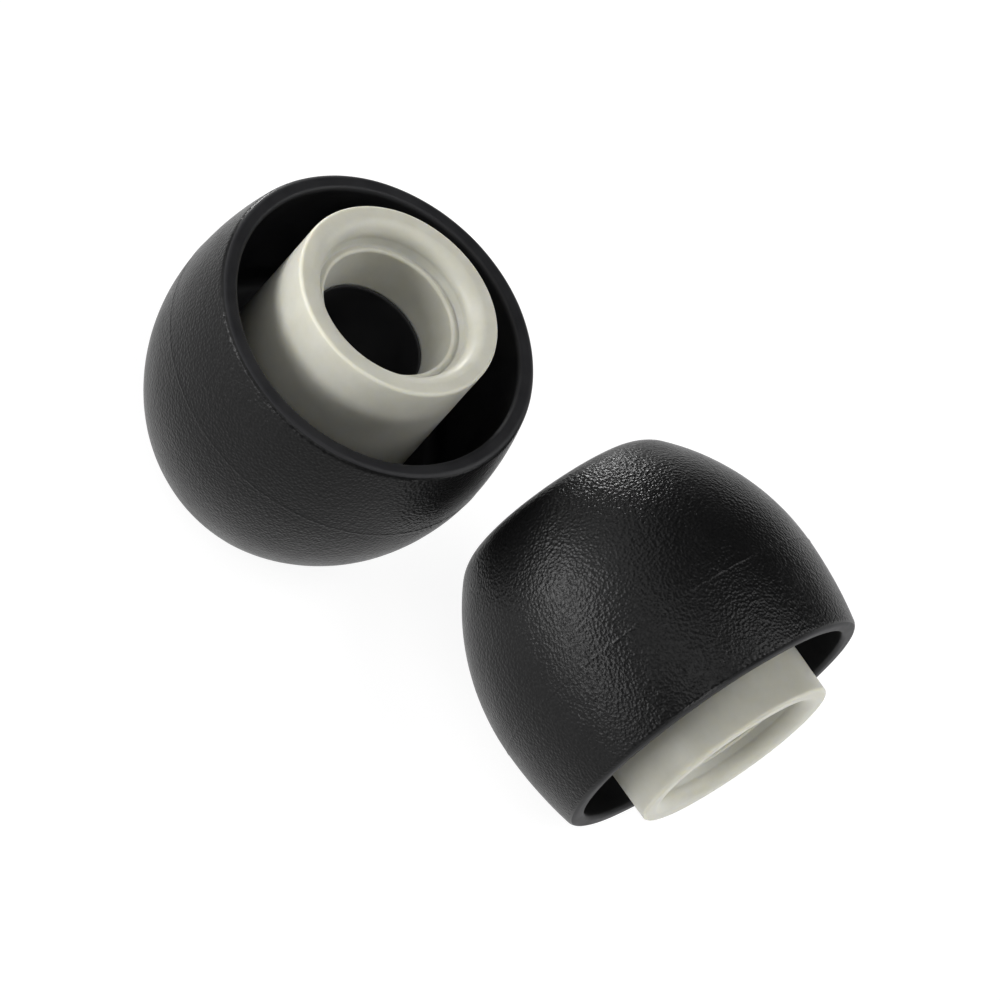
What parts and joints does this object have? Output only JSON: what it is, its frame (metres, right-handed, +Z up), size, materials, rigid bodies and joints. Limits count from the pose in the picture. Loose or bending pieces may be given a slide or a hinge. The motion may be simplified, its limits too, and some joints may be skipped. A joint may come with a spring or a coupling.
{
  "type": "in-ear monitor ear tips",
  "caption": "Soft domed ear tips for in-ear monitors: a thin black silicone skirt round a grey core whose bore grips the monitor's nozzle.",
  "frame": {"origin": "centre of the left tip's nose face, on the table that it stands on", "axes": "+Z up, along the left dome's axis and out of its mouth; +X level, out of the right tip's mouth"},
  "size_m": [0.0243, 0.0172, 0.0125],
  "materials": {
    "black_silicone": "fine grained matt",
    "grey_silicone": "smooth satin"
  },
  "bodies": {
    "left_dome": {"left_dome": "black_silicone"},
    "left_core": {"left_core": "grey_silicone", "left_sound_tube": "black_silicone"},
    "right_dome": {"right_dome": "black_silicone"},
    "right_core": {"right_core": "grey_silicone", "right_sound_tube": "black_silicone"}
  },
  "joints": [
    {"name": "left_neck_bend", "type": "hinge", "parent": "left_dome", "child": "left_core", "pos_m": [0, 0, 0.00406], "axis": [-0.8572, -0.515, 0], "range_deg": [-13, 7], "stiffness_Nm_per_rad": 0.002},
    {"name": "right_tip_slide", "type": "slide", "parent": "left_dome", "child": "right_dome", "axis": [1, 0, 0], "range_m": [0, 0.015]},
    {"name": "right_neck_bend", "type": "hinge", "parent": "right_dome", "child": "right_core", "pos_m": [0.01134, 0.00472, 0.00625], "axis": [0, 0, 1], "range_deg": [-10, 10], "stiffness_Nm_per_rad": 0.002}
  ]
}
